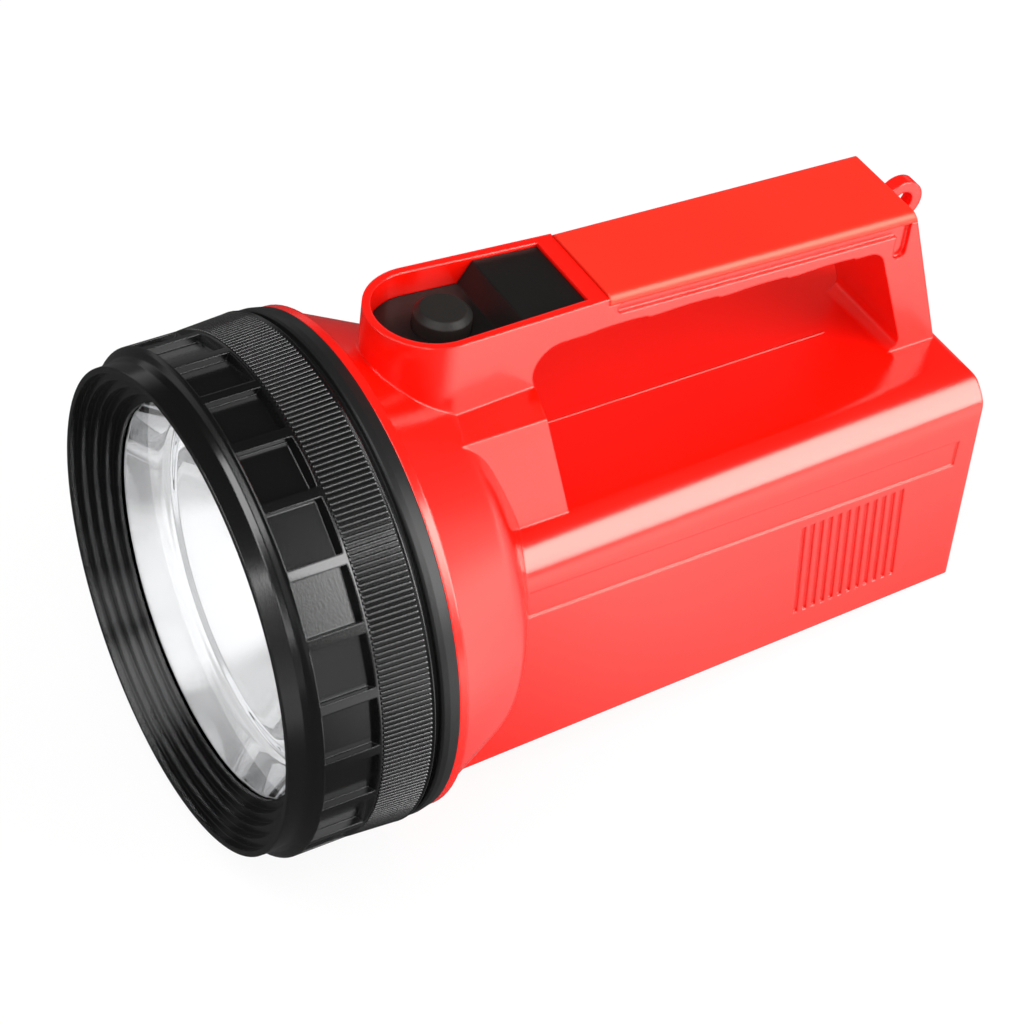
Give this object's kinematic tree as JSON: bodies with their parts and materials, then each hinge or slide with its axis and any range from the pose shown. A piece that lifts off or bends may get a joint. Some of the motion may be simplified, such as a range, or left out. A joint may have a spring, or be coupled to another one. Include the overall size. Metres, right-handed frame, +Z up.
{
  "type": "hand lantern",
  "caption": "Battery hand lantern with a ribbed screw ring round a deep reflector lamp, a tapered box body, a bow handle and a recessed push switch.",
  "frame": {"origin": "centre of the bounding box at the lowest point of the screw ring, with the beam level", "axes": "+Y from the lens towards the rear wall, so the beam leaves along -Y; +X to the lamp's left seen from behind the rear wall; +Z up, from the belly to the grip"},
  "size_m": [0.142, 0.2314, 0.1498],
  "materials": {
    "red_plastic": "gloss moulded red plastic",
    "black_plastic": "gloss moulded black plastic",
    "seal_rubber": "smooth black rubber",
    "clear_lens": "clear polished plastic",
    "mirror_coat": "vacuum-coated bright mirror",
    "bulb_glass": "clear glass",
    "brass": "plain brass",
    "dark_plastic": "matte dark plastic",
    "board": "pressed brown board",
    "battery_jacket": "plain wrapped jacket",
    "spring_steel": "plated steel",
    "foam_pad": "soft foam",
    "button_rubber": "satin black rubber"
  },
  "bodies": {
    "case": {"body_shell": "red_plastic", "handle_cover": "red_plastic", "seal_ring": "seal_rubber", "switch_plate": "black_plastic", "switch_body": "dark_plastic", "switch_terminals": "brass", "battery_case": "battery_jacket", "battery_top": "dark_plastic", "battery_springs": "spring_steel", "battery_pad": "foam_pad", "button_spring": "spring_steel"},
    "optics": {"lens": "clear_lens", "lens_gasket": "seal_rubber", "reflector": "mirror_coat", "bulb_glass": "bulb_glass", "bulb_base": "brass", "bulb_holder": "dark_plastic", "bulb_contact": "brass", "contact_board": "board", "contact_centre": "brass", "contact_side": "brass"},
    "ring": {"bezel_ring": "black_plastic"},
    "button": {"push_button": "button_rubber"}
  },
  "joints": [
    {"name": "optics_slide", "type": "slide", "parent": "case", "child": "optics", "axis": [0, -1, 0], "range_m": [0, 0.009]},
    {"name": "ring_unscrew", "type": "hinge", "parent": "optics", "child": "ring", "pos_m": [0, -0.09, 0.071], "axis": [0, -1, 0], "range_deg": [0, 720]},
    {"name": "button_press", "type": "slide", "parent": "case", "child": "button", "axis": [0, -0.0419, -0.9991], "range_m": [0, 0.003], "stiffness_N_per_m": 700, "springref_m": -0.002, "deforming": ["button_spring"]}
  ],
  "couplings": [
    {"joint": "optics_slide", "follows": "ring_unscrew", "m_per_rad": 0.0007162}
  ]
}
